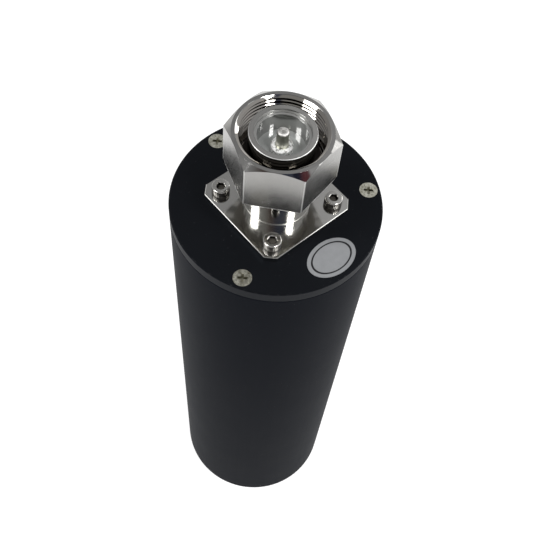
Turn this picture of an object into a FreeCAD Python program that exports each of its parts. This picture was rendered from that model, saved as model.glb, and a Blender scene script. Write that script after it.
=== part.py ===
import FreeCAD, Part

import math
import os

from FreeCAD import Vector

# Coaxial termination with a 7/16 plug: a matched load sealed in a round black housing.
# Millimetres. The origin is the centre of the flat foot, +Z runs up through the plug,
# and one corner of the square flange points to -Y.

# Housing and cover
body_dia = 73.0
body_length = 226.0
housing_wall = 8.2
housing_floor = 8.0
cover_thick = 10.0
cover_rim = 4.6
foot_chamfer = 0.8
rim_chamfer = 0.4
seam_chamfer = 0.3
spigot_gap = 0.05

# Countersunk screws that hold the cover
cover_screw_count = 3
cover_screw_inset = 4.15
cover_screw_angle = 15.0
cover_screw_dia = 3.0
cover_screw_length = 12.0
cover_screw_head_dia = 6.3
cover_screw_head_rim = 0.15
recess_span = 3.4
recess_width = 0.9
recess_depth = 1.4

# Square flange, neck and outer contact, turned and milled in one piece
flange_side = 37.2
flange_across_cuts = 48.4
flange_thick = 2.4
flange_chamfer = 0.2
neck_dia = 22.8
neck_height = 25.2
contact_dia = 21.4
contact_height = 36.5
contact_chamfer_height = 0.2
contact_chamfer_width = 0.2
land_dia = 18.0
land_depth = 1.6
flange_spigot_dia = 21.4

# Cap screws that hold the flange
flange_screw_count = 4
flange_screw_circle = 38.0
flange_screw_dia = 3.0
flange_screw_length = 20.0
flange_screw_head_dia = 5.5
flange_screw_head_height = 3.0
flange_screw_socket = 2.5
flange_screw_socket_depth = 1.6

# Coaxial line through the plug
line_outer_dia = 16.0
line_inner_dia = 7.0
bead_dia = 18.0
bead_face_height = 28.0
bead_thick = 5.0
bead_bore_dia = 5.2
shoulder_height = 30.7
shoulder_chamfer = 0.4
pin_dia = 4.0
pin_height = 36.8
pin_nose_dia = 2.4
stud_dia = 3.0
stud_length = 6.0

# Coupling nut, with the ring that keeps it on the neck
nut_flats = 32.0
nut_base_height = 18.2
nut_length = 18.5
nut_corner_angle = 55.8
nut_front_circle = 31.8
nut_back_circle = 35.2
nut_front_bevel = 38.0
nut_back_bevel = 30.0
nut_thread_major = 29.0
nut_thread_minor = 27.4
nut_mouth_dia = 29.5
nut_mouth_angle = 30.0
nut_lip_thick = 2.6
nut_collar_thick = 1.2
nut_relief_length = 2.0
nut_float = 2.0
nut_gap = 0.1
ring_thick = 1.2
ring_bite = 1.0
ring_reach = 1.3
ring_split = 3.0
ring_side_gap = 0.05
ring_root_gap = 0.1

# Seals
mating_gasket_thick = 1.5
mating_gasket_dia = 24.4
mating_gasket_root = 20.8
seal_width = 2.2
seal_squeeze = 1.4
seal_corner = 0.4
flange_seal_dia = 26.4
cover_seal_offset = 1.6

# Load inside the housing
sleeve_gap = 0.1
rod_dia = 12.7
rod_bore_dia = 7.0
rod_gap = 1.0
cap_wall = 0.4
cap_length = 10.0
socket_wall = 0.8
socket_web = 2.0
flare_length = 18.0
slot_width = 0.8
slot_count = 4
slot_web = 1.5
tapped_depth = 9.0

# Earth clamp behind the resistor
rear_clearance = 4.0
end_plate_thick = 14.0
end_plate_lip = 1.5
collet_nut_thick = 5.0
collet_nut_dia = 24.0
collet_nut_recess = 0.5
collet_nut_hole_dia = 2.4
collet_back_dia = 19.0
collet_front_dia = 16.6
plate_screw_count = 4
plate_screw_inset = 7.2
plate_screw_angle = 45.0
plate_screw_dia = 4.0
plate_screw_length = 16.0
plate_screw_head_dia = 7.0
plate_screw_head_height = 4.0
plate_screw_socket = 3.0
plate_screw_socket_depth = 2.0
counterbore_depth = 4.4

# Oval label on the cover
label_flange_gap = 3.4
label_rim_gap = 1.7
label_proportion = 1.44
label_thick = 0.15
label_angle = -45.6
label_turn = 45.8

# Clearances shared by all fixed fits
seat_gap = 0.03
thread_gap = 0.05
screw_hole_gap = 0.15
head_gap = 0.2

# How far each cut runs past the face that it opens
past = 1.0

# Radii and heights that follow from the sizes above
body_r = body_dia / 2
bore_r = body_r - housing_wall
housing_top = body_length - cover_rim
cover_back = body_length - cover_thick
sleeve_r = bore_r - sleeve_gap
cover_screw_circle = body_dia - 2 * cover_screw_inset
plate_screw_circle = 2 * (sleeve_r - plate_screw_inset)
line_outer_r = line_outer_dia / 2
line_inner_r = line_inner_dia / 2
line_ratio = line_outer_dia / line_inner_dia
rod_r = rod_dia / 2
cap_r = rod_r + seat_gap + cap_wall
socket_r = cap_r + seat_gap + socket_wall
flare_end = cover_back - flare_length
socket_mouth = flare_end - socket_web - cap_length
plate_back = housing_floor + rear_clearance
plate_front = plate_back + end_plate_thick
collet_back = plate_back + collet_nut_recess + collet_nut_thick
collet_front = plate_front - end_plate_lip
rod_front = flare_end - socket_web - cap_wall
rod_back = collet_back + cap_wall
bead_front = body_length + bead_face_height
bead_back = bead_front - bead_thick
neck_r = neck_dia / 2
neck_top = body_length + neck_height
nut_base = body_length + nut_base_height
nut_top = nut_base + nut_length
nut_lip_top = nut_base + nut_lip_thick
ring_slot_height = ring_thick + nut_float + 2 * ring_side_gap
nut_collar_base = nut_lip_top + ring_slot_height
nut_collar_top = nut_collar_base + nut_collar_thick
ring_top = nut_collar_base - ring_side_gap
ring_base = ring_top - ring_thick
ring_root_r = neck_r - ring_bite
ring_inner_r = ring_root_r + ring_root_gap
ring_outer_r = neck_r + ring_reach
gasket_r = mating_gasket_dia / 2
gasket_root_r = mating_gasket_root / 2
gasket_top = neck_top + mating_gasket_thick
label_outer_r = body_r - label_rim_gap
label_inner_r = flange_side / 2 + label_flange_gap
label_width = label_outer_r - label_inner_r
label_length = label_width * label_proportion


def turned(outline):
    """Solid of revolution about Z from (radius, height) corners."""
    corners = [Vector(radius, 0, height) for radius, height in outline]
    section = Part.Face(Part.makePolygon(corners + corners[:1]))
    return section.revolve(Vector(0, 0, 0), Vector(0, 0, 1), 360)


def tube(outer_r, inner_r, low, high):
    """Plain ring between two heights."""
    return turned([(inner_r, low), (outer_r, low), (outer_r, high), (inner_r, high)])


def hexagon_prism(flats, low, high, corner_angle=0.0):
    """Hexagonal bar about Z between two heights, one corner at the given angle."""
    corner_r = flats / 2 / math.cos(math.radians(30))
    angles = [math.radians(corner_angle + 60 * side) for side in range(6)]
    corners = [Vector(corner_r * math.cos(a), corner_r * math.sin(a), low) for a in angles]
    return Part.Face(Part.makePolygon(corners + corners[:1])).extrude(Vector(0, 0, high - low))


def circle_places(count, circle_dia, first_angle=0.0):
    """Centres of a ring of holes, starting from the given angle."""
    angles = [math.radians(first_angle + 360.0 / count * step) for step in range(count)]
    return [Vector(circle_dia / 2 * math.cos(a), circle_dia / 2 * math.sin(a), 0) for a in angles]


def drilled(solid, places, radius, low, high):
    """The solid with one round hole at each place."""
    for place in places:
        solid = solid.cut(Part.makeCylinder(radius, high - low, place + Vector(0, 0, low)))
    return solid


def radial_slots(count, width, reach, low, high):
    """Narrow walls from the axis outwards, for slitting a collet or a socket."""
    slots = []
    for step in range(count):
        slot = Part.makeBox(reach, width, high - low, Vector(0, -width / 2, low))
        slots.append(slot.rotate(Vector(0, 0, 0), Vector(0, 0, 1), 360.0 / count * step + 45))
    return slots


def squeezed_ring(outer_r, inner_r, low, high):
    """Rubber ring as it sits in its groove, flat on four sides with its corners eased."""
    ease = seal_corner
    return turned([
        (inner_r + ease, low), (outer_r - ease, low), (outer_r, low + ease), (outer_r, high - ease),
        (outer_r - ease, high), (inner_r + ease, high), (inner_r, high - ease), (inner_r, low + ease),
    ])


def cross_outline(span, width, height):
    """Closed cross-shaped wire at one height."""
    far = span / 2
    near = width / 2
    quarter = [(far, -near), (far, near), (near, near)]
    corners = []
    for turn in range(4):
        for x, y in quarter:
            for step in range(turn):
                x, y = -y, x
            corners.append(Vector(x, y, height))
    return Part.makePolygon(corners + corners[:1])


# Screws

cover_screw_places = circle_places(cover_screw_count, cover_screw_circle, cover_screw_angle)
flange_screw_places = circle_places(flange_screw_count, flange_screw_circle)
plate_screw_places = circle_places(plate_screw_count, plate_screw_circle, plate_screw_angle)


def cap_screw(dia, length, head_dia, head_height, socket, socket_depth):
    """Socket cap screw with the underside of its head at the origin and its head up."""
    radius = dia / 2
    head_r = head_dia / 2
    tip = dia / 10
    crown = head_dia / 12
    mouth_r = 0.62 * socket
    blank = turned([
        (0, -length), (radius - tip, -length), (radius, tip - length), (radius, 0),
        (head_r, 0), (head_r, head_height - crown),
        (head_r - crown * 0.3, head_height - crown * 0.3), (head_r - crown, head_height),
        (0, head_height),
    ])
    lead_in = turned([(0, head_height - mouth_r), (mouth_r, head_height),
                      (mouth_r, head_height + past), (0, head_height + past)])
    key = hexagon_prism(socket, head_height - socket_depth, head_height + past)
    return blank.cut(key).cut(lead_in)


def countersunk_screw():
    """Cover screw with the flat of its head at the origin."""
    radius = cover_screw_dia / 2
    head_r = cover_screw_head_dia / 2
    rim = cover_screw_head_rim
    tip = cover_screw_dia / 10
    blank = turned([
        (0, -cover_screw_length), (radius - tip, -cover_screw_length),
        (radius, tip - cover_screw_length), (radius, radius - head_r - rim),
        (head_r, -rim), (head_r, 0), (0, 0),
    ])
    wide = cross_outline(recess_span, recess_width, 0)
    narrow = cross_outline(recess_span / 2, recess_width * 0.7, -recess_depth)
    return blank.cut(Part.makeLoft([wide, narrow], True, True))


# Housing and cover

def make_housing():
    """Deep round cup, closed at the foot and tapped in its rim."""
    cup = turned([
        (0, 0), (body_r - foot_chamfer, 0), (body_r, foot_chamfer),
        (body_r, housing_top - seam_chamfer), (body_r - seam_chamfer, housing_top),
        (bore_r, housing_top), (bore_r, housing_floor), (0, housing_floor),
    ])
    hole_end = body_length - cover_screw_length - past
    return drilled(cup, cover_screw_places, cover_screw_dia / 2 + thread_gap,
                   hole_end, housing_top + past)


def make_front_cover():
    """Flat cover with a spigot that enters the housing and carries both seals."""
    spigot_r = bore_r - spigot_gap
    hole_r = flange_spigot_dia / 2 + seat_gap
    seal_top = housing_top - cover_seal_offset
    seal_bottom = seal_top - seal_width
    groove_r = spigot_r + spigot_gap - seal_squeeze
    flange_groove_in = flange_seal_dia / 2 - seal_width / 2
    flange_groove_out = flange_seal_dia / 2 + seal_width / 2
    cover = turned([
        (hole_r, cover_back), (spigot_r, cover_back), (spigot_r, seal_bottom),
        (groove_r, seal_bottom), (groove_r, seal_top), (spigot_r, seal_top),
        (spigot_r, housing_top), (body_r - seam_chamfer, housing_top),
        (body_r, housing_top + seam_chamfer), (body_r, body_length - rim_chamfer),
        (body_r - rim_chamfer, body_length),
        (flange_groove_out, body_length), (flange_groove_out, body_length - seal_squeeze),
        (flange_groove_in, body_length - seal_squeeze), (flange_groove_in, body_length),
        (hole_r, body_length),
    ])
    cover = drilled(cover, flange_screw_places, flange_screw_dia / 2 + screw_hole_gap,
                    cover_back - past, body_length + past)
    cover = drilled(cover, cover_screw_places, cover_screw_dia / 2 + screw_hole_gap,
                    cover_back - past, body_length + past)
    sink_r = cover_screw_head_dia / 2 + seat_gap
    rim_z = body_length - cover_screw_head_rim
    sink = turned([(0, rim_z - sink_r), (sink_r, rim_z), (sink_r, body_length + past),
                   (0, body_length + past)])
    for place in cover_screw_places:
        cover = cover.cut(sink.translated(place))
    return cover


def make_cover_seal():
    """Rubber ring between the cover's spigot and the housing bore."""
    top = housing_top - cover_seal_offset
    return squeezed_ring(bore_r - seat_gap, bore_r - seal_squeeze + seat_gap,
                        top - seal_width + seat_gap, top - seat_gap)


def make_flange_seal():
    """Rubber ring under the flange, in the cover's front groove."""
    mean_r = flange_seal_dia / 2
    half = seal_width / 2 - seat_gap
    return squeezed_ring(mean_r + half, mean_r - half,
                        body_length - seal_squeeze + seat_gap, body_length)


# Plug

def make_connector_body():
    """Square flange, neck and outer contact in one piece, bored for the line."""
    corner_reach = flange_side / math.sqrt(2)
    cut_reach = flange_across_cuts / 2
    half_cut = corner_reach - cut_reach
    corners = []
    for turn in range(4):
        for x, y in [(cut_reach, -half_cut), (cut_reach, half_cut)]:
            for step in range(turn):
                x, y = -y, x
            corners.append(Vector(x, y, body_length))
    plate = Part.Face(Part.makePolygon(corners + corners[:1])).extrude(Vector(0, 0, flange_thick))
    flange_top = body_length + flange_thick
    top_edges = [edge for edge in plate.Edges
                 if min(vertex.Z for vertex in edge.Vertexes) > flange_top - 1e-6]
    plate = plate.makeChamfer(flange_chamfer, top_edges)

    contact_r = contact_dia / 2
    contact_top = body_length + contact_height
    slot_low = ring_base - ring_side_gap
    slot_high = ring_top + ring_side_gap
    barrel = turned([
        (0, cover_back), (flange_spigot_dia / 2, cover_back), (flange_spigot_dia / 2, flange_top),
        (neck_r, flange_top), (neck_r, slot_low), (ring_root_r, slot_low),
        (ring_root_r, slot_high), (neck_r, slot_high), (neck_r, neck_top),
        (gasket_root_r, neck_top), (gasket_root_r, gasket_top + seat_gap),
        (contact_r, gasket_top + seat_gap),
        (contact_r, contact_top - contact_chamfer_height),
        (contact_r - contact_chamfer_width, contact_top), (0, contact_top),
    ])
    bore = turned([
        (0, cover_back - past), (bead_dia / 2, cover_back - past), (bead_dia / 2, bead_front),
        (line_outer_r, bead_front), (line_outer_r, contact_top - land_depth),
        (land_dia / 2, contact_top - land_depth), (land_dia / 2, contact_top + past),
        (0, contact_top + past),
    ])
    body = plate.fuse(barrel).cut(bore).removeSplitter()
    return drilled(body, flange_screw_places, flange_screw_dia / 2 + screw_hole_gap,
                   body_length - past, flange_top + past)


def make_coupling_nut():
    """Hexagonal nut that floats on the neck, held by the ring in its inner groove."""
    front_slope = math.tan(math.radians(nut_front_bevel))
    back_slope = math.tan(math.radians(nut_back_bevel))
    front_r = nut_front_circle / 2
    back_r = nut_back_circle / 2
    far_r = nut_flats * 0.6
    envelope = turned([
        (0, nut_base), (back_r, nut_base), (far_r, nut_base + (far_r - back_r) * back_slope),
        (far_r, nut_top - (far_r - front_r) * front_slope), (front_r, nut_top), (0, nut_top),
    ])
    minor_r = nut_thread_minor / 2
    mouth_r = nut_mouth_dia / 2
    mouth_depth = (mouth_r - minor_r) * math.tan(math.radians(nut_mouth_angle))
    relief_r = nut_thread_major / 2 + nut_gap
    relief_top = nut_collar_top + nut_relief_length
    bore = turned([
        (0, nut_base - past), (neck_r + nut_gap, nut_base - past), (neck_r + nut_gap, nut_lip_top),
        (ring_outer_r + 2 * nut_gap, nut_lip_top), (ring_outer_r + 2 * nut_gap, nut_collar_base),
        (gasket_r + nut_gap, nut_collar_base), (gasket_r + nut_gap, nut_collar_top),
        (relief_r, nut_collar_top), (relief_r, relief_top), (minor_r, relief_top),
        (minor_r, nut_top - mouth_depth), (mouth_r, nut_top), (mouth_r, nut_top + past),
        (0, nut_top + past),
    ])
    blank = hexagon_prism(nut_flats, nut_base, nut_top, nut_corner_angle)
    return blank.common(envelope).cut(bore)


def make_retaining_ring():
    """Split spring ring, sprung into the neck's groove."""
    ring = tube(ring_outer_r, ring_inner_r, ring_base, ring_top)
    gap = Part.makeBox(ring_outer_r, ring_split, 2 * ring_thick,
                       Vector(0, -ring_split / 2, ring_base - ring_thick / 2))
    return ring.cut(gap)


def make_mating_gasket():
    """Soft ring in the neck's top groove that the mating socket presses on."""
    return tube(gasket_r, gasket_root_r + seat_gap, neck_top, gasket_top)


def make_front_insulator():
    """Bead that centres the pin in the outer contact."""
    return tube(bead_dia / 2 - seat_gap, bead_bore_dia / 2 + seat_gap, bead_back, bead_front)


def make_insulator_sleeve():
    """Long bush that holds the bead forward and carries on the outer conductor."""
    return tube(bead_dia / 2 - seat_gap, line_outer_r, cover_back, bead_back)


def make_centre_pin():
    """Centre contact with a rounded nose, a shoulder and a threaded tail."""
    radius = pin_dia / 2
    nose_r = pin_nose_dia / 2
    tip = body_length + pin_height
    shoulder = body_length + shoulder_height
    nose_drop = radius - nose_r
    bend = nose_drop * (1 - math.sqrt(0.5))
    tail = bead_back - stud_length
    points = [
        Vector(radius, 0, tip - nose_drop), Vector(radius, 0, shoulder),
        Vector(line_inner_r - shoulder_chamfer, 0, shoulder),
        Vector(line_inner_r, 0, shoulder - shoulder_chamfer), Vector(line_inner_r, 0, bead_front),
        Vector(bead_bore_dia / 2, 0, bead_front), Vector(bead_bore_dia / 2, 0, bead_back),
        Vector(stud_dia / 2, 0, bead_back), Vector(stud_dia / 2, 0, tail), Vector(0, 0, tail),
        Vector(0, 0, tip), Vector(nose_r, 0, tip),
    ]
    nose_middle = Vector(radius - bend, 0, tip - bend)
    nose = Part.Arc(points[-1], nose_middle, points[0]).toShape()
    section = Part.Face(Part.Wire([nose] + Part.makePolygon(points).Edges))
    return section.revolve(Vector(0, 0, 0), Vector(0, 0, 1), 360)


def make_rear_conductor():
    """Inner conductor that flares out into a slit socket for the resistor."""
    hole_r = stud_dia / 2 + thread_gap
    hole_end = bead_back - stud_length - past
    grip_r = cap_r + seat_gap
    grip_top = flare_end - socket_web
    body = turned([
        (0, grip_top), (grip_r, grip_top), (grip_r, socket_mouth), (socket_r, socket_mouth),
        (socket_r, flare_end), (line_inner_r, cover_back), (line_inner_r, bead_back),
        (hole_r, bead_back), (hole_r, hole_end), (0, hole_end),
    ])
    slit_top = grip_top - slot_web
    return body.cut(radial_slots(slot_count, slot_width, 2 * socket_r, socket_mouth - past, slit_top))


# Load

def make_load_sleeve():
    """Outer conductor round the resistor: its bore shrinks as the line is used up."""
    wide_r = socket_r * line_ratio
    film_r = rod_r * line_ratio
    film_front = socket_mouth - (wide_r - film_r)
    film_length = film_front - plate_front

    def bore_radius(share):
        return rod_r * line_ratio ** (1 - share) + rod_gap * share

    stations = 8
    curve_points = []
    for step in range(stations + 1):
        share = step / stations
        height = film_front - film_length * share
        curve_points.append(Vector(bore_radius(share), 0, height))
    taper = Part.BSplineCurve()
    taper.interpolate(curve_points)
    straight = [
        curve_points[-1], Vector(sleeve_r, 0, plate_front), Vector(sleeve_r, 0, cover_back),
        Vector(line_outer_r, 0, cover_back), Vector(wide_r, 0, flare_end),
        Vector(wide_r, 0, socket_mouth), curve_points[0],
    ]
    section = Part.Face(Part.Wire([taper.toShape()] + Part.makePolygon(straight).Edges))
    sleeve = section.revolve(Vector(0, 0, 0), Vector(0, 0, 1), 360)
    sleeve = drilled(sleeve, flange_screw_places, flange_screw_dia / 2 + thread_gap,
                     cover_back - tapped_depth, cover_back + past)
    screw_reach = plate_screw_length - (end_plate_thick - counterbore_depth)
    return drilled(sleeve, plate_screw_places, plate_screw_dia / 2 + thread_gap,
                   plate_front - past, plate_front + screw_reach + past)


def make_resistor_rod():
    """Ceramic tube that carries the resistive film."""
    return tube(rod_r, rod_bore_dia / 2, rod_back, rod_front)


def make_resistor_cap(closed_end, open_end):
    """Thin metal cup over one end of the rod."""
    inward = math.copysign(cap_wall, open_end - closed_end)
    return turned([
        (0, closed_end), (cap_r, closed_end), (cap_r, open_end), (cap_r - cap_wall, open_end),
        (cap_r - cap_wall, closed_end + inward), (0, closed_end + inward),
    ])


def make_end_plate():
    """Rear plate of the load, with the conical seat for the earth collet."""
    seat_front_r = collet_front_dia / 2 + seat_gap
    seat_back_r = collet_back_dia / 2 + seat_gap
    nut_r = collet_nut_dia / 2 + thread_gap
    lip_r = rod_r + rod_gap
    plate = turned([
        (lip_r, plate_front), (sleeve_r, plate_front), (sleeve_r, plate_back),
        (nut_r, plate_back), (nut_r, collet_back), (seat_back_r, collet_back),
        (seat_front_r, collet_front), (lip_r, collet_front),
    ])
    plate = drilled(plate, plate_screw_places, plate_screw_dia / 2 + screw_hole_gap,
                    plate_back - past, plate_front + past)
    return drilled(plate, plate_screw_places, plate_screw_head_dia / 2 + head_gap,
                   plate_back - past, plate_back + counterbore_depth)


def make_earth_collet():
    """Slit cone that grips the resistor's rear cap."""
    grip_r = cap_r + seat_gap
    cone = turned([
        (grip_r, collet_back), (collet_back_dia / 2, collet_back),
        (collet_front_dia / 2, collet_front), (grip_r, collet_front),
    ])
    return cone.cut(radial_slots(slot_count, slot_width, collet_back_dia,
                                 collet_back + slot_web, collet_front + past))


def make_collet_nut():
    """Ring nut that pushes the collet into its seat, turned with a pin spanner."""
    low = collet_back - collet_nut_thick
    mean_r = (collet_nut_dia / 2 + cap_r) / 2
    ring = tube(collet_nut_dia / 2, cap_r + seat_gap, low, collet_back)
    return drilled(ring, circle_places(2, 2 * mean_r), collet_nut_hole_dia / 2,
                   low - past, low + collet_nut_thick / 2)


def make_oval_label():
    """Thin oval plate stuck to the cover."""
    oval = Part.Ellipse(Vector(0, 0, 0), label_length / 2, label_width / 2)
    label = Part.Face(Part.Wire([oval.toShape()])).extrude(Vector(0, 0, label_thick))
    label.rotate(Vector(0, 0, 0), Vector(0, 0, 1), label_turn)
    reach = (label_outer_r + label_inner_r) / 2
    angle = math.radians(label_angle)
    return label.translate(Vector(reach * math.cos(angle), reach * math.sin(angle), body_length))


def place_screws():
    """Every screw as its own solid, by node name."""
    screws = {}
    for number, place in enumerate(cover_screw_places, 1):
        screw = countersunk_screw()
        screws[f"cover_screw_{number}"] = screw.translate(place + Vector(0, 0, body_length))
    for number, place in enumerate(flange_screw_places, 1):
        screw = cap_screw(flange_screw_dia, flange_screw_length, flange_screw_head_dia,
                          flange_screw_head_height, flange_screw_socket, flange_screw_socket_depth)
        height = body_length + flange_thick
        screws[f"flange_screw_{number}"] = screw.translate(place + Vector(0, 0, height))
    for number, place in enumerate(plate_screw_places, 1):
        screw = cap_screw(plate_screw_dia, plate_screw_length, plate_screw_head_dia,
                          plate_screw_head_height, plate_screw_socket, plate_screw_socket_depth)
        screw.rotate(Vector(0, 0, 0), Vector(1, 0, 0), 180)
        height = plate_back + counterbore_depth
        screws[f"end_plate_screw_{number}"] = screw.translate(place + Vector(0, 0, height))
    return screws


nodes = {
    "housing": make_housing(),
    "front_cover": make_front_cover(),
    "cover_seal": make_cover_seal(),
    "flange_seal": make_flange_seal(),
    "connector_body": make_connector_body(),
    "coupling_nut": make_coupling_nut(),
    "retaining_ring": make_retaining_ring(),
    "mating_gasket": make_mating_gasket(),
    "front_insulator": make_front_insulator(),
    "insulator_sleeve": make_insulator_sleeve(),
    "centre_pin": make_centre_pin(),
    "rear_conductor": make_rear_conductor(),
    "load_sleeve": make_load_sleeve(),
    "resistor_rod": make_resistor_rod(),
    "resistor_front_cap": make_resistor_cap(flare_end - socket_web, socket_mouth),
    "resistor_rear_cap": make_resistor_cap(collet_back, collet_back + cap_length),
    "end_plate": make_end_plate(),
    "earth_collet": make_earth_collet(),
    "collet_nut": make_collet_nut(),
    "oval_label": make_oval_label(),
}
nodes.update(place_screws())

os.makedirs("parts", exist_ok=True)
for name, shape in nodes.items():
    shape.exportStep(f"parts/{name}.step")
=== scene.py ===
import math

import bpy
from mathutils import Matrix, Vector


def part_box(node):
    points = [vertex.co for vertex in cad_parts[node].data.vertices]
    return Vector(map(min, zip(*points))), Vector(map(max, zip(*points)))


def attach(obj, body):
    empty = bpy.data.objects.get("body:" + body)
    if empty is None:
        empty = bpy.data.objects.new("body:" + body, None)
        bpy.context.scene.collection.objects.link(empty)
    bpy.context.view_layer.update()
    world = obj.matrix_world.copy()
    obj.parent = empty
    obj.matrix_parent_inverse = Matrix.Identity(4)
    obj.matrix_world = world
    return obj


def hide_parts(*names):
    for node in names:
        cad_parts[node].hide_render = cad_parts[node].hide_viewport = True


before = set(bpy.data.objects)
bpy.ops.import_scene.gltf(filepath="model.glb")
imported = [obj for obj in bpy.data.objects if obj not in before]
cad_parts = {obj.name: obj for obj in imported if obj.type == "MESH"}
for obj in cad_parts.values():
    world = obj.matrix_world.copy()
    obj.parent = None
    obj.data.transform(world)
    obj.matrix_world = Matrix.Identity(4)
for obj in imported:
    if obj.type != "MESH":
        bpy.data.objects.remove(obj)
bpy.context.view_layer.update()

# Looks of the coaxial termination. Metres, in the model's own frame: the foot stands on
# Z = 0, +Z runs up through the plug and one corner of the flange points to -Y.

MM = 0.001

# Places read from the frame
seam_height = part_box("housing")[1].z
cover_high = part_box("front_cover")[1]
nut_low, nut_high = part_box("coupling_nut")
contact_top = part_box("connector_body")[1].z
label_low, label_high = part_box("oval_label")
pin_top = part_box("centre_pin")[1].z
housing_r = cover_high.x
cover_face = cover_high.z

# Coupling nut, with its angles in degrees
nut_flats = 32.0 * MM
nut_corner_angle = 55.8
nut_front_circle = 31.8 * MM
nut_back_circle = 35.2 * MM
nut_front_bevel = 38.0
nut_back_bevel = 30.0
nut_neck_hole = 23.0 * MM
nut_lip = 2.6 * MM
nut_pocket_dia = 25.8 * MM
nut_pocket_top = 5.9 * MM
nut_collar_hole = 24.6 * MM
nut_collar_top = 7.1 * MM
nut_relief_dia = 29.2 * MM
nut_relief_top = 9.1 * MM
nut_edge_soften = 0.14 * MM
nut_entry_depth = 0.62 * MM
thread_pitch = 1.5 * MM
thread_major = 29.0 * MM
thread_minor = 27.4 * MM
thread_mouth = 29.5 * MM
thread_flank = 30.0
thread_steps = 96
nut_soften_angle = 24
nut_smooth_angle = 34
nut_tool_share = 0.62

# Tools: how far one stands past the piece that it cuts, points that count as one, sides of a
# round and half of a hexagon's corner step in degrees
past = 1.0 * MM
same_point = 0.5e-6
round_sides = 128
hexagon_half = 30

# Neck under the nut and outer contact inside it
neck_r = 11.4 * MM
contact_outer_r = 10.7 * MM
contact_entry_r = 9.0 * MM
contact_bore_r = 8.0 * MM
contact_chamfer = 0.2 * MM
neck_foot_height = 3.0 * MM

# Centre contact and the bead behind it
pin_side_r = 2.15 * MM
pin_tip_height = 0.55 * MM
bead_polish_r = 5.8 * MM

# Cap screws of the flange: their heads measure a little over 6 mm in the photograph. The rim
# of a head goes through shares of its radius and of the height of its rounding.
head_height = 3.0 * MM
head_r = 3.05 * MM
head_round = 0.45 * MM
shank_r = 1.5 * MM
socket_flats = 2.65 * MM
socket_mouth_r = 1.62 * MM
socket_depth = 1.6 * MM
socket_sides = 48
knurl_teeth = 36
knurl_share = 0.98
head_rim = ((1.0, 0.0), (0.98, 0.55), (0.93, 0.88), (0.87, 1.0))
head_smooth_angle = 38

# Oval line on the label, turned by so many degrees
label_turn = 45.8
label_line_long = 7.5 * MM
label_line_wide = 4.95 * MM
label_line_share = 0.046
label_line_edge = 0.008

# Wear and dust on the black parts, measured from their edges
rim_rub_down = 0.42 * MM
rim_rub_in = 0.55 * MM
foot_rub_up = 1.1 * MM
dust_grain = 0.7 * MM


# Modelling

def deselect_all():
    """Nothing selected, so that the next operator acts on the new piece alone."""
    if bpy.context.object and bpy.context.object.mode == "EDIT":
        bpy.ops.object.mode_set(mode="OBJECT")
    bpy.ops.object.select_all(action="DESELECT")


def pick(piece):
    """Makes one piece the only selected one and the active one."""
    deselect_all()
    piece.select_set(True)
    bpy.context.view_layer.objects.active = piece


def settle(piece, name):
    """Names a finished primitive and moves its place into its mesh."""
    piece.name = name
    pick(piece)
    bpy.ops.object.transform_apply(location=True, rotation=True, scale=True)
    return piece


def pick_points(piece, wanted):
    """Opens the piece for editing with only the points that are wanted selected."""
    pick(piece)
    bpy.ops.object.mode_set(mode="EDIT")
    bpy.ops.mesh.select_all(action="DESELECT")
    bpy.ops.object.mode_set(mode="OBJECT")
    for vertex in piece.data.vertices:
        vertex.select = wanted(vertex.co)
    bpy.ops.object.mode_set(mode="EDIT")


def face_outwards(piece):
    """Merges doubles and turns every face outwards."""
    pick(piece)
    bpy.ops.object.mode_set(mode="EDIT")
    bpy.ops.mesh.select_all(action="SELECT")
    bpy.ops.mesh.remove_doubles(threshold=same_point)
    bpy.ops.mesh.normals_make_consistent(inside=False)
    bpy.ops.object.mode_set(mode="OBJECT")


def drawn_up(name, stations, sides=round_sides):
    """Solid drawn up from a disc through (radius, height) stations."""
    deselect_all()
    radius, height = stations[0]
    bpy.ops.mesh.primitive_circle_add(
        vertices=sides, radius=radius, fill_type="NGON", location=(0, 0, height))
    piece = bpy.context.object
    bpy.ops.object.mode_set(mode="EDIT")
    for next_radius, next_height in stations[1:]:
        bpy.ops.mesh.extrude_region_move(
            TRANSFORM_OT_translate={"value": (0, 0, next_height - height)})
        share = next_radius / radius
        bpy.ops.transform.resize(value=(share, share, 1), center_override=(0, 0, next_height))
        radius, height = next_radius, next_height
    bpy.ops.object.mode_set(mode="OBJECT")
    settle(piece, name)
    face_outwards(piece)
    return piece


def finish_modifier(piece, kind, **settings):
    """Adds a modifier, sets it and applies it."""
    pick(piece)
    modifier = piece.modifiers.new(kind.lower(), kind)
    for key, value in settings.items():
        setattr(modifier, key, value)
    bpy.ops.object.modifier_apply(modifier=modifier.name)


def combine(piece, tool, operation):
    """Cuts a tool out of the piece, or keeps only what both fill."""
    finish_modifier(piece, "BOOLEAN", operation=operation, solver="EXACT", object=tool)
    bpy.data.objects.remove(tool)


def smooth_by_angle(piece, degrees):
    """Smooth shading that keeps the sharp edges."""
    pick(piece)
    bpy.ops.object.shade_smooth_by_angle(angle=math.radians(degrees))


def hexagon_bar(name, flats, low, high, corner_angle):
    """Six-sided bar about Z with one corner at the given angle."""
    deselect_all()
    bpy.ops.mesh.primitive_cylinder_add(
        vertices=6, radius=flats / 2 / math.cos(math.radians(hexagon_half)), depth=high - low,
        location=(0, 0, (low + high) / 2),
        rotation=(0, 0, math.radians(corner_angle + hexagon_half)))
    return settle(bpy.context.object, name)


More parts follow.
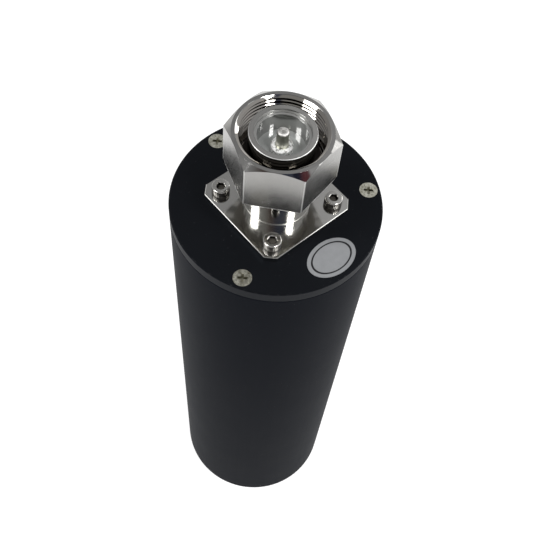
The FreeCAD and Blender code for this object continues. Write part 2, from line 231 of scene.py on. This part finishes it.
def thread_groove(low, high):
    """Helical tool with 60 degree flanks, as wide as the thread's groove."""
    skin = 0.2 * MM
    inner = thread_minor / 2 - skin
    depth = thread_major / 2 - inner
    root = thread_pitch / 8
    mouth = root + 2 * depth * math.tan(math.radians(thread_flank))
    deselect_all()
    bpy.ops.mesh.primitive_plane_add(
        size=1, location=(inner + depth / 2, 0, low), rotation=(math.radians(90), 0, 0))
    tool = bpy.context.object
    bpy.ops.object.mode_set(mode="EDIT")
    bpy.ops.transform.resize(value=(depth, 1, mouth), center_override=tool.location)
    bpy.ops.object.mode_set(mode="OBJECT")
    settle(tool, "thread_groove")
    pick_points(tool, lambda point: point.x > inner + depth / 2)
    bpy.ops.transform.resize(value=(1, 1, root / mouth), center_override=(0, 0, low))
    bpy.ops.object.mode_set(mode="OBJECT")
    turns = math.ceil((high - low) / thread_pitch)
    finish_modifier(tool, "SCREW", axis="Z", angle=math.radians(360), screw_offset=thread_pitch,
                    iterations=turns, steps=thread_steps, render_steps=thread_steps)
    bpy.ops.object.mode_set(mode="EDIT")
    bpy.ops.mesh.select_all(action="SELECT")
    bpy.ops.mesh.fill_holes(sides=4)
    bpy.ops.object.mode_set(mode="OBJECT")
    face_outwards(tool)
    return tool


def cap_screw(name):
    """Socket cap screw with a knurled side and a rounded rim on its head."""
    low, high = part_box(name)
    centre = (low + high) / 2
    seat = high.z - head_height
    round_start = high.z - head_round
    screw = drawn_up("knurled_" + name, [
        (shank_r * 0.85, low.z), (shank_r, low.z + shank_r * 0.2), (shank_r, seat),
        (head_r * 0.97, seat), (head_r, seat + head_round / 3),
    ] + [(head_r * share, round_start + head_round * rise) for share, rise in head_rim],
        sides=4 * knurl_teeth)

    def in_knurl_gap(point):
        around = round(math.atan2(point.y, point.x) * 2 * knurl_teeth / math.pi) % 4
        on_side = seat + head_round / 4 < point.z < round_start + head_round / 4
        return on_side and math.hypot(point.x, point.y) > head_r * 0.99 and around > 1

    pick_points(screw, in_knurl_gap)
    bpy.ops.transform.resize(value=(knurl_share, knurl_share, 1), center_override=(0, 0, 0))
    bpy.ops.object.mode_set(mode="OBJECT")
    combine(screw, drawn_up("socket_mouth", [
        (socket_flats / 2, high.z - socket_mouth_r + socket_flats / 2),
        (socket_mouth_r + past, high.z + past),
    ], sides=socket_sides), "DIFFERENCE")
    key = hexagon_bar("socket_key", socket_flats, high.z - socket_depth, high.z + past, 0)
    combine(screw, key, "DIFFERENCE")
    screw.location = (centre.x, centre.y, 0)
    settle(screw, "knurled_" + name)
    smooth_by_angle(screw, head_smooth_angle)
    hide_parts(name)
    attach(screw, "termination")
    return screw


def coupling_nut():
    """Hexagonal nut with bevelled ends, a stepped bore and a real thread."""
    base = nut_low.z
    top = nut_high.z
    front_slope = math.tan(math.radians(nut_front_bevel))
    back_slope = math.tan(math.radians(nut_back_bevel))
    far_r = nut_flats * nut_tool_share
    front_r = nut_front_circle / 2
    back_r = nut_back_circle / 2
    neck_hole_r = nut_neck_hole / 2
    pocket_r = nut_pocket_dia / 2
    collar_r = nut_collar_hole / 2
    relief_r = nut_relief_dia / 2
    minor_r = thread_minor / 2
    mouth_r = thread_mouth / 2
    soften = nut_edge_soften
    nut = hexagon_bar("threaded_nut", nut_flats, base, top, nut_corner_angle)
    combine(nut, drawn_up("bevels", [
        (back_r, base - past / 100), (far_r, base + (far_r - back_r) * back_slope),
        (far_r, top - (far_r - front_r) * front_slope), (front_r, top + past / 100),
    ]), "INTERSECT")
    finish_modifier(nut, "BEVEL", width=soften, segments=2, limit_method="ANGLE",
                    angle_limit=math.radians(nut_soften_angle), harden_normals=False)
    face_outwards(nut)
    combine(nut, drawn_up("stepped_bore", [
        (neck_hole_r + past, base - past), (neck_hole_r + soften, base - soften / 10),
        (neck_hole_r, base + soften), (neck_hole_r, base + nut_lip),
        (pocket_r, base + nut_lip), (pocket_r, base + nut_pocket_top),
        (collar_r, base + nut_pocket_top), (collar_r, base + nut_collar_top),
        (relief_r, base + nut_collar_top), (relief_r, base + nut_relief_top),
        (minor_r, base + nut_relief_top), (minor_r, top - nut_entry_depth),
        (mouth_r - soften, top - soften), (mouth_r, top + soften / 10),
        (mouth_r + past, top + past),
    ]), "DIFFERENCE")
    face_outwards(nut)
    groove = thread_groove(base + nut_relief_top - thread_pitch, top - nut_entry_depth / 2)
    combine(nut, groove, "DIFFERENCE")
    smooth_by_angle(nut, nut_smooth_angle)
    finish_modifier(nut, "WEIGHTED_NORMAL", mode="FACE_AREA_WITH_ANGLE", weight=100,
                    keep_sharp=True)
    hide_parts("coupling_nut")
    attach(nut, "nut")
    return nut


# Shading

# Sockets of a Mix node that mixes colours
mix_share = 0
mix_first = 6
mix_second = 7
mix_result = 2


class Signal:
    """One shader output that takes part in sums: each sum adds its Math node."""

    def __init__(self, bench, socket):
        self.bench = bench
        self.socket = socket

    def maths(self, operation, *sides):
        sockets = dict(enumerate(sides))
        return self.bench.node("ShaderNodeMath", {"operation": operation}, sockets)

    def __add__(self, other):
        return self.maths("ADD", self, other)

    def __radd__(self, other):
        return self.maths("ADD", other, self)

    def __sub__(self, other):
        return self.maths("SUBTRACT", self, other)

    def __rsub__(self, other):
        return self.maths("SUBTRACT", other, self)

    def __mul__(self, other):
        return self.maths("MULTIPLY", self, other)

    def __rmul__(self, other):
        return self.maths("MULTIPLY", other, self)

    def __truediv__(self, other):
        return self.maths("DIVIDE", self, other)

    def __pow__(self, other):
        return self.maths("POWER", self, other)


class NodeBench:
    """A node tree of a material or world, emptied and then built up node by node."""

    def __init__(self, owner, coordinates):
        owner.use_nodes = True
        self.tree = owner.node_tree
        self.tree.nodes.clear()
        self.place = self.node("ShaderNodeTexCoord", output=coordinates)
        self.x, self.y, self.z = [
            self.node("ShaderNodeSeparateXYZ", {}, {0: self.place}, axis) for axis in "XYZ"]

    def node(self, kind, settings=None, values=None, output=0):
        """Adds a node: its settings first, then its sockets' values or links."""
        new = self.tree.nodes.new(kind)
        for key, value in (settings or {}).items():
            setattr(new, key, value)
        for key, value in (values or {}).items():
            if isinstance(value, Signal):
                self.tree.links.new(value.socket, new.inputs[key])
            else:
                new.inputs[key].default_value = value
        return Signal(self, new.outputs[output]) if new.outputs else None

    def step(self, signal, low, high):
        """0 below one value, 1 above the other and smooth between them."""
        return self.node("ShaderNodeMapRange", {"interpolation_type": "SMOOTHSTEP"},
                         {"Value": signal, "From Min": low, "From Max": high})

    def drop(self, signal, low, high):
        """1 below one value, 0 above the other and smooth between them."""
        return 1 - self.step(signal, low, high)

    def band(self, signal, low, high, edge):
        """1 between two values, with smooth edges."""
        return self.step(signal, low - edge, low + edge) \
            * self.drop(signal, high - edge, high + edge)

    def tint(self, first, second, share):
        """Colour between two colours."""
        return self.node("ShaderNodeMix", {"data_type": "RGBA"}, {
            mix_share: share,
            mix_first: first if isinstance(first, Signal) else (*first, 1),
            mix_second: second if isinstance(second, Signal) else (*second, 1)}, mix_result)


class Finish(NodeBench):
    """A surface finish on the object's own coordinates."""

    def __init__(self, name):
        self.material = bpy.data.materials.new(name)
        super().__init__(self.material, "Object")
        self.radius = (self.x * self.x + self.y * self.y) ** 0.5

    def noise(self, grain, detail=2.0, stretch=(1, 1, 1), roughness=0.5):
        """Cloudy noise from 0 to 1 whose lumps are about one grain across."""
        scaled = self.node("ShaderNodeMapping", {"vector_type": "POINT"}, {
            "Vector": self.place, "Scale": [1 / (grain * part) for part in stretch]})
        return self.node("ShaderNodeTexNoise", {}, {
            "Vector": scaled, "Scale": 1.0, "Detail": detail, "Roughness": roughness}, "Fac")

    def along(self, across, axis_length):
        """Noise on (radius, height), so that it makes rings round the axis."""
        pair = self.node("ShaderNodeCombineXYZ", {}, {
            "X": self.radius / across, "Y": self.z / axis_length})
        return self.node("ShaderNodeTexNoise", {}, {
            "Vector": pair, "Scale": 1.0, "Detail": 3.0, "Roughness": 0.6}, "Fac")

    def bump(self, height, depth, strength=1.0):
        """Surface relief of the given depth in metres."""
        return self.node("ShaderNodeBump", {}, {
            "Height": height, "Distance": depth, "Strength": strength}, "Normal")

    def surface(self, colour, roughness, normal, **constants):
        """The shader itself, with what varies linked and what doesn't set on its socket."""
        values = {"Base Color": colour, "Roughness": roughness, "Normal": normal}
        values.update({key.replace("_", " "): value for key, value in constants.items()})
        shader = self.node("ShaderNodeBsdfPrincipled", {}, values)
        self.node("ShaderNodeOutputMaterial", {}, {"Surface": shader})
        return self.material


def black_anodising(name, gloss, first, second):
    """Fine-blasted black anodised aluminium: rubbed edges, dust and a paler cover side."""
    skin = Finish(name)
    fine = skin.noise(0.12 * MM, 2)
    cloud = skin.noise(14 * MM, 4)
    streak = skin.noise(1.2 * MM, 3, stretch=(1, 1, 30))
    rim = skin.band(skin.z, cover_face - rim_rub_down, cover_face + past, 0.1 * MM) \
        * skin.step(skin.radius, housing_r - rim_rub_in, housing_r - 0.3 * MM)
    foot = skin.drop(skin.z, 0.6 * MM, foot_rub_up)
    rubbed = (rim + foot) * skin.step(skin.noise(1.6 * MM, 5, roughness=0.7), 0.56, 0.72)
    turned = skin.step(skin.radius, housing_r - 0.08 * MM, housing_r - 0.04 * MM) \
        * skin.step(skin.z, seam_height + 0.1 * MM, seam_height + 0.2 * MM)
    black = skin.tint(skin.tint(first, second, cloud), (0.0078, 0.0088, 0.0110), turned)
    dusty = skin.step(skin.noise(9 * MM, 3), 0.46, 0.62)
    dust = skin.step(skin.noise(dust_grain, 2), 0.68, 0.74) * dusty
    colour = skin.tint(black, (0.06, 0.06, 0.063), rubbed * 0.5 + dust * 0.45)
    roughness = 0.40 + cloud * 0.06 + fine * 0.05 + streak * 0.03
    normal = skin.bump(fine, 0.006 * MM, 0.6)
    return skin.surface(colour, roughness, normal, Specular_IOR_Level=gloss,
                        Specular_Tint=(0.62, 0.78, 1.0, 1.0))


def bright_plating(name, polish):
    """White bronze plate over turned brass: matt ledge, painted shade in the bore and on the
    contact's outer side, and a painted highlight on the rim.
    """
    plate = Finish(name)
    rings = plate.along(0.3 * MM, 0.12 * MM)
    cloud = plate.noise(5 * MM, 4)
    hairline = plate.noise(0.3 * MM, 3, stretch=(1, 14, 3))
    outside = plate.tint((0.46, 0.455, 0.435), (0.58, 0.575, 0.55), cloud * 0.7 + rings * 0.3)
    # Painted shade: inside the contact's bore the plate is darker.
    bore = plate.drop(plate.radius, contact_entry_r + 0.04 * MM, contact_entry_r + 0.1 * MM)
    plain = plate.tint(outside, (0.40, 0.40, 0.39), bore)
    rim_r = contact_outer_r - contact_chamfer
    rim_low = contact_top - contact_chamfer
    # Painted shade: the contact's outer side just under the rim, inside the nut, is near black.
    wall = plate.drop(plate.z, rim_low - 0.1 * MM, rim_low) * plate.band(
        plate.radius, contact_outer_r - 0.05 * MM, contact_outer_r + 0.3 * MM, 0.02 * MM)
    # Painted highlight: the chamfer round the rim is near white.
    rim = plate.step(plate.radius, rim_r, rim_r + 0.03 * MM) \
        * plate.step(plate.z, rim_low, rim_low + 0.03 * MM)
    colour = plate.tint(plate.tint(plain, (0.115, 0.11, 0.10), wall), (0.95, 0.95, 0.93), rim)
    ledge = plate.band(
        plate.radius, contact_bore_r + 0.08 * MM, contact_entry_r - 0.08 * MM, 0.04 * MM)
    foot_high = cover_face + neck_foot_height
    foot = plate.band(plate.radius, neck_r, neck_r + 0.16 * MM, 0.03 * MM) \
        * plate.drop(plate.z, foot_high, foot_high + 0.2 * MM)
    roughness = polish + rings * 0.04 + hairline * 0.05 + cloud * 0.03 + ledge * 0.45 \
        + foot * 0.28 + rim * 0.30
    normal = plate.bump(rings, 0.0008 * MM, 0.4)
    return plate.surface(colour, roughness, normal, Metallic=1.0)


def nut_plating():
    """Plated hexagon bar: drawn flats, turned ends, and polished bevel, thread and mouth, with
    painted highlights on the corners and painted reflections on the back face.
    """
    plate = Finish("nut_plating")
    drawn = plate.noise(0.16 * MM, 4, stretch=(1, 1, 40), roughness=0.65)
    rings = plate.along(0.22 * MM, 2.0 * MM)
    cloud = plate.noise(3.5 * MM, 5)
    front_r = nut_front_circle / 2
    major_r = thread_major / 2
    mouth_r = thread_mouth / 2
    corner_r = nut_flats / 2 / math.cos(math.radians(hexagon_half))
    turned = plate.step(plate.z, nut_high.z - 0.2 * MM, nut_high.z - 0.1 * MM)
    slope = math.tan(math.radians(nut_front_bevel))
    off_cone = (plate.z + (plate.radius - front_r) * slope - nut_high.z) ** 2
    bevel = plate.drop(off_cone, (0.05 * MM) ** 2, (0.12 * MM) ** 2) \
        * plate.step(plate.radius, front_r - 0.05 * MM, front_r + 0.05 * MM)
    marks = drawn * 0.5 * (1 - turned) + rings * turned
    # Painted highlight on the hexagon's corners: near-white colour, and rougher as from wear.
    painted_light = plate.step(plate.radius, corner_r - 0.15 * MM, corner_r - 0.11 * MM)
    outside = plate.tint((0.33, 0.325, 0.315), (0.42, 0.415, 0.40), cloud)
    inside = plate.drop(plate.radius, major_r + 0.02 * MM, major_r + 0.1 * MM)
    bored = plate.drop(plate.radius, mouth_r, mouth_r + 0.04 * MM)
    bright = plate.tint(outside, (0.66, 0.66, 0.645), painted_light)
    # Painted reflection: near-white radial streaks on the back face, which is rougher too.
    back = plate.drop(plate.z, nut_low.z + 0.02 * MM, nut_low.z + 0.5 * MM)
    angle = plate.y.maths("ARCTAN2", plate.y, plate.x)
    painted_streaks = plate.node("ShaderNodeTexNoise", {"noise_dimensions": "1D"}, {
        "W": angle * 5.0, "Scale": 1.0, "Detail": 2.0}, "Fac")
    bright = plate.tint(bright, (0.95, 0.94, 0.93), back * plate.step(painted_streaks, 0.4, 0.6))
    colour = plate.tint(bright, (0.42, 0.40, 0.37), inside)
    polished = 0.06 + cloud * 0.05
    brushed = 0.13 + cloud * 0.11 + marks * 0.06
    flat = (1 - turned) * (1 - inside) * (1 - bevel)
    smooth = bevel + bored * (1 - bevel)
    roughness = brushed + (polished - brushed) * smooth - bored * 0.03 + flat * 0.05 \
        + painted_light * 0.12 + back * 0.4
    normal = plate.bump(marks * (1 - smooth), 0.0022 * MM, 0.5)
    return plate.surface(colour, roughness, normal, Metallic=1.0)


def turned_metal(name, dark, light, roughness, ring=0.08 * MM):
    """Plain turned metal with fine tool rings and a little tarnish."""
    metal = Finish(name)
    rings = metal.along(ring, ring)
    cloud = metal.noise(2.5 * MM, 4)
    colour = metal.tint(dark, light, cloud * 0.6 + rings * 0.4)
    normal = metal.bump(rings, 0.002 * MM, 0.5)
    return metal.surface(colour, roughness + rings * 0.08 + cloud * 0.06, normal, Metallic=1.0)


def screw_plating():
    """Zinc-plated steel with a yellow-grey passivation, small stains and painted shade in the
    recess.
    """
    plate = Finish("screw_plating")
    # Painted shade: the cross recess below the head's face is darker.
    recess = plate.drop(plate.z, cover_face - 0.5 * MM, cover_face - 0.04 * MM)
    cloud = plate.noise(0.8 * MM, 5, roughness=0.65)
    fine = plate.noise(0.1 * MM, 3)
    face = plate.tint((0.34, 0.33, 0.25), (0.86, 0.85, 0.74), plate.step(cloud, 0.3, 0.7))
    colour = plate.tint(face, (0.36, 0.35, 0.28), recess)
    return plate.surface(colour, 0.20 + fine * 0.12 + cloud * 0.08,
                         plate.bump(cloud * 0.6 + fine * 0.4, 0.006 * MM, 0.5), Metallic=1.0)


def cap_screw_steel(name):
    """Bright nickel on a cap screw with a knurled side, with painted shade on that side and in
    the hexagon socket.
    """
    low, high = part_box(name)
    centre = (low + high) / 2
    plate = Finish(name + "_steel")
    across = plate.x - centre.x
    forward = plate.y - centre.y
    reach = (across * across + forward * forward) ** 0.5
    round_start = high.z - head_round
    socket_floor = high.z - socket_depth
    # Painted shade: the socket is near black, a little lighter on its floor.
    socket = plate.drop(reach, socket_mouth_r * 0.94, socket_mouth_r * 0.98) \
        * plate.drop(plate.z, high.z - 0.45 * MM, high.z - 0.12 * MM)
    # Painted shade: the knurled side is near black.
    side = plate.step(reach, head_r * 0.9, head_r * 0.95) \
        * plate.drop(plate.z, round_start - 0.05 * MM, round_start + 0.05 * MM)
    cloud = plate.noise(0.9 * MM, 4)
    bright = plate.tint((0.42, 0.41, 0.39), (0.62, 0.61, 0.58), cloud)
    painted_light = plate.tint(bright, (0.055, 0.05, 0.045), side * 0.92)
    bottom = plate.drop(plate.z, socket_floor + 0.03 * MM, socket_floor + 0.12 * MM)
    hole = plate.tint((0.030, 0.027, 0.024), (0.13, 0.12, 0.105), bottom)
    colour = plate.tint(painted_light, hole, socket)
    return plate.surface(colour, 0.14 + cloud * 0.08 + socket * 0.4 + side * 0.12,
                         plate.bump(cloud, 0.004 * MM, 0.5), Metallic=1.0)


def turned_bead():
    """Turned white plastic with painted shade that greys it, and a polished ring against the
    bore.
    """
    bead = Finish("white_insulator")
    rings = bead.along(0.18 * MM, 0.18 * MM)
    cloud = bead.noise(1.5 * MM, 4)
    # Painted shade: the white plastic is given a mid-grey colour.
    colour = bead.tint((0.25, 0.26, 0.252), (0.32, 0.33, 0.32), cloud * 0.6 + rings * 0.4)
    polished = bead.step(bead.radius, bead_polish_r, bead_polish_r + 0.5 * MM)
    return bead.surface(colour, 0.40 + rings * 0.08, bead.bump(rings, 0.002 * MM, 0.5),
                        Coat_Weight=polished, Coat_Roughness=0.05, Coat_IOR=2.0)


def soft_plastic(name, dark, light, roughness, grain=0.2 * MM):
    """Matt moulded or turned plastic or rubber with a fine grain."""
    plastic = Finish(name)
    fine = plastic.noise(grain, 4)
    cloud = plastic.noise(20 * grain, 3)
    colour = plastic.tint(dark, light, cloud * 0.7 + fine * 0.3)
    return plastic.surface(colour, roughness + fine * 0.1, plastic.bump(fine, grain / 30, 0.6))


def contact_silver():
    """Silver-plated centre contact: smooth side, matt stained tip, matt bright shoulder."""
    silver = Finish("contact_silver")
    tip = silver.step(silver.z, pin_top - pin_tip_height, pin_top - 0.3 * MM)
    shoulder = silver.step(silver.radius, pin_side_r, pin_side_r + 0.1 * MM)
    rings = silver.along(0.06 * MM, 0.08 * MM)
    cloud = silver.noise(0.7 * MM, 4)
    side = silver.tint((0.42, 0.42, 0.36), (0.56, 0.56, 0.49), cloud * 0.6 + rings * 0.4)
    matt = silver.tint((0.32, 0.31, 0.29), (0.66, 0.65, 0.63), silver.step(cloud, 0.35, 0.6))
    foot = silver.tint((0.42, 0.42, 0.40), (0.97, 0.97, 0.96), silver.step(cloud, 0.38, 0.52))
    colour = silver.tint(silver.tint(side, matt, tip), foot, shoulder)
    roughness = 0.26 + rings * 0.06 + cloud * 0.06 + tip * 0.20 + shoulder * 0.40
    return silver.surface(colour, roughness, silver.bump(rings, 0.002 * MM, 0.5), Metallic=1.0)


def label_foil():
    """Silver-grey printed foil with a thin dark oval line inside its edge."""
    foil = Finish("label_foil")
    centre = (label_low + label_high) / 2
    turn = math.radians(label_turn)
    along = (foil.x - centre.x) * math.cos(turn) + (foil.y - centre.y) * math.sin(turn)
    across = (foil.y - centre.y) * math.cos(turn) - (foil.x - centre.x) * math.sin(turn)
    oval = ((along / label_line_long) ** 2 + (across / label_line_wide) ** 2) ** 0.5
    wobble = foil.noise(0.25 * MM, 3)
    line = foil.band(oval + wobble * label_line_edge - label_line_edge / 2,
                     1 - label_line_share, 1 + label_line_share, label_line_edge)
    fibre = foil.noise(0.14 * MM, 4, stretch=(1, 5, 1))
    cloud = foil.noise(2.2 * MM, 4)
    silver = foil.tint((0.190, 0.196, 0.203), (0.275, 0.282, 0.290), cloud * 0.6 + fibre * 0.4)
    colour = foil.tint(silver, (0.002, 0.002, 0.003), line)
    return foil.surface(colour, 0.42 + fibre * 0.14, foil.bump(fibre, 0.004 * MM, 0.5),
                        Metallic=0.25, Specular_IOR_Level=0.4)


def film_ceramic():
    """Dark resistive film fired on a ceramic tube."""
    film = Finish("film_ceramic")
    cloud = film.noise(3 * MM, 4)
    fine = film.noise(0.1 * MM, 4)
    colour = film.tint((0.10, 0.105, 0.12), (0.19, 0.20, 0.22), cloud)
    return film.surface(colour, 0.34 + fine * 0.12, film.bump(fine, 0.005 * MM, 0.5))


def dress(material, *names):
    """Gives CAD nodes a finish in their own material slot."""
    for name in names:
        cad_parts[name].material_slots[0].material = material


def coat(piece, material):
    """Gives a piece that was modelled here its only finish."""
    piece.data.materials.clear()
    piece.data.materials.append(material)


dress(black_anodising("housing_anodising", 0.012,
                      (0.0068, 0.0082, 0.0122), (0.0088, 0.0104, 0.0148)), "housing")
# Painted shade: the cover gets a darker black than the housing, which darkens its top face.
dress(black_anodising("cover_anodising", 0.07,
                      (0.0040, 0.0043, 0.0052), (0.0052, 0.0055, 0.0064)), "front_cover")
dress(bright_plating("body_plating", 0.045), "connector_body")
dress(bright_plating("sleeve_plating", 0.20), "insulator_sleeve")
dress(contact_silver(), "centre_pin")
dress(turned_metal("silver_plating", (0.52, 0.51, 0.44), (0.70, 0.69, 0.62), 0.12),
      "rear_conductor", "resistor_front_cap", "resistor_rear_cap")
dress(turned_metal("bare_aluminium", (0.62, 0.63, 0.64), (0.74, 0.75, 0.76), 0.28),
      "load_sleeve", "end_plate")
dress(turned_metal("spring_bronze", (0.52, 0.38, 0.22), (0.66, 0.50, 0.31), 0.25),
      "retaining_ring", "earth_collet", "collet_nut")
dress(turned_bead(), "front_insulator")
dress(soft_plastic("black_rubber", (0.016, 0.016, 0.017), (0.028, 0.028, 0.030), 0.6),
      "cover_seal", "flange_seal")
dress(soft_plastic("dark_rubber", (0.020, 0.013, 0.010), (0.036, 0.024, 0.019), 0.5),
      "mating_gasket")
dress(film_ceramic(), "resistor_rod")
dress(label_foil(), "oval_label")
dress(screw_plating(), *[f"cover_screw_{number}" for number in range(1, 4)])
for number in range(1, 5):
    dress(cap_screw_steel(f"end_plate_screw_{number}"), f"end_plate_screw_{number}")

coat(coupling_nut(), nut_plating())
for number in range(1, 5):
    coat(cap_screw(f"flange_screw_{number}"), cap_screw_steel(f"flange_screw_{number}"))


# Studio

floor_size = 60.0
floor_white = 0.36
floor_glow = 0.82

# Patches of the room, as directions from the object: a darker one overhead, and a dark red and
# blue one that the nut's front bevel mirrors
overhead_x = -0.2
overhead_y = -0.12
dark_x = 0.48
dark_y = -0.46
dark_z = 0.745

# Lamps on a circle round the plug: azimuth from the camera's side and elevation in degrees,
# width and height in metres, watts
lamp_distance = 0.9
lamps = {
    "left_softbox": (-73, 56.5, 0.25, 0.40, 4.3),
    "right_softbox": (57, 60.5, 0.17, 0.28, 3.8),
    "back_right_panel": (130, 24, 0.36, 0.22, 1.2),
    "right_strip": (78, 26, 0.22, 0.22, 0.4),
    "left_strip": (-76, 26, 0.22, 0.22, 0.4),
    "low_right_panel": (106, 12, 0.62, 0.34, 1.0),
}
light_rays = ("Is Camera Ray", "Is Glossy Ray", "Is Transmission Ray")


def pale_floor():
    """Wide white floor that keeps a soft shadow and fills the view."""
    deselect_all()
    bpy.ops.mesh.primitive_plane_add(size=floor_size, location=(0, 0, 0))
    floor = settle(bpy.context.object, "studio_floor")
    paint = Finish("floor_paint")
    paper = paint.tint((floor_white,) * 3, (floor_white * 0.98,) * 3, paint.noise(0.4, 3))
    diffuse = paint.node("ShaderNodeBsdfDiffuse", {}, {"Color": paper})
    camera, glossy, through = [
        paint.node("ShaderNodeLightPath", output=ray) for ray in light_rays]
    strength = (camera + glossy + through) * floor_glow
    glow = paint.node("ShaderNodeEmission", {}, {"Color": (1, 1, 1, 1), "Strength": strength})
    both = paint.node("ShaderNodeAddShader", {}, {0: diffuse, 1: glow})
    paint.node("ShaderNodeOutputMaterial", {}, {"Surface": both})
    floor.data.materials.append(paint.material)


def softbox(name, azimuth, elevation, width, height, power):
    """Rectangular lamp on a circle round the plug, aimed at it."""
    aim = Vector((0, 0, cover_face))
    around = math.radians(azimuth)
    up = math.radians(elevation)
    place = aim + lamp_distance * Vector((
        math.sin(around) * math.cos(up), -math.cos(around) * math.cos(up), math.sin(up)))
    light = bpy.data.lights.new(name, "AREA")
    light.shape = "RECTANGLE"
    light.size = width
    light.size_y = height
    light.energy = power
    lamp = bpy.data.objects.new(name, light)
    bpy.context.scene.collection.objects.link(lamp)
    lamp.location = place
    lamp.rotation_euler = (place - aim).to_track_quat("Z", "Y").to_euler()


def studio_world():
    """Room seen in the metal: white paper at the horizon, grey walls, darker over the camera."""
    world = bpy.data.worlds.new("studio_room")
    room = NodeBench(world, "Generated")
    ceiling = room.tint((0.34, 0.34, 0.345), (0.56, 0.56, 0.57), room.step(room.x, -0.04, 0.12))
    walls = room.tint((0.62, 0.62, 0.62), ceiling, room.step(room.z, 0.05, 0.55))
    front = room.step(-1 * room.y, 0.1, 0.3) * room.step(room.z, 0.66, 0.76)
    warm_to_cool = room.tint((0.10, 0.07, 0.06), (0.06, 0.07, 0.11), room.step(room.x, -0.2, 0.2))
    walls = room.tint(walls, warm_to_cool, front)
    over = ((room.x - overhead_x) ** 2 + (room.y - overhead_y) ** 2) ** 0.5
    overhead = room.drop(over, 0.34, 0.42) * room.step(room.z, 0.5, 0.6)
    walls = room.tint(walls, (0.36, 0.36, 0.355), overhead)
    away = ((room.x - dark_x) ** 2 + (room.y - dark_y) ** 2 + (room.z - dark_z) ** 2) ** 0.5
    dark = room.tint((0.012, 0.014, 0.035), (0.14, 0.03, 0.04), room.step(room.x, 0.44, 0.56))
    walls = room.tint(dark, walls, room.step(away, 0.16, 0.24))
    camera, glossy, through = [
        room.node("ShaderNodeLightPath", output=ray) for ray in light_rays]
    horizon = room.drop(room.z, 0.02, 0.2)
    backdrop = room.tint(walls, (1, 1, 1), camera + (glossy + through) * horizon)
    paper = room.node("ShaderNodeBackground", {}, {"Color": backdrop})
    room.node("ShaderNodeOutputWorld", {}, {"Surface": paper})
    bpy.context.scene.world = world


# The camera that took the photograph, found from the outlines of the cover, body and flange.
# Height and focal length are in pixels, the sensor in millimetres and the angles in radians.
photo_height = 556
photo_focal = 833.32
sensor_size = 36.0
camera_distance = 284.39 * MM
camera_elevation = 0.96287
camera_yaw = 0.018146
camera_pitch = 1.054907
camera_roll = 0.117325


def photo_camera():
    """Camera at the photograph's viewpoint, aimed and rolled as it was."""
    data = bpy.data.cameras.new("photo_camera")
    camera = bpy.data.objects.new("photo_camera", data)
    bpy.context.scene.collection.objects.link(camera)
    data.sensor_width = sensor_size
    data.lens = photo_focal * sensor_size / photo_height
    data.clip_start = 0.01
    data.clip_end = 20
    ahead = Vector((math.sin(camera_yaw) * math.cos(camera_pitch),
                    math.cos(camera_yaw) * math.cos(camera_pitch), -math.sin(camera_pitch)))
    level = Vector((math.cos(camera_yaw), -math.sin(camera_yaw), 0))
    upright = level.cross(ahead)
    right = math.cos(camera_roll) * level + math.sin(camera_roll) * upright
    up = math.cos(camera_roll) * upright - math.sin(camera_roll) * level
    place = Vector((0, -camera_distance * math.cos(camera_elevation),
                    cover_face + camera_distance * math.sin(camera_elevation)))
    turn = Matrix((right, up, -ahead)).transposed().to_4x4()
    camera.matrix_world = Matrix.Translation(place) @ turn
    bpy.context.scene.camera = camera


pale_floor()
studio_world()
for name, (azimuth, elevation, width, height, power) in lamps.items():
    softbox(name, azimuth, elevation, width, height, power)
photo_camera()
bpy.context.scene.view_settings.view_transform = "Standard"
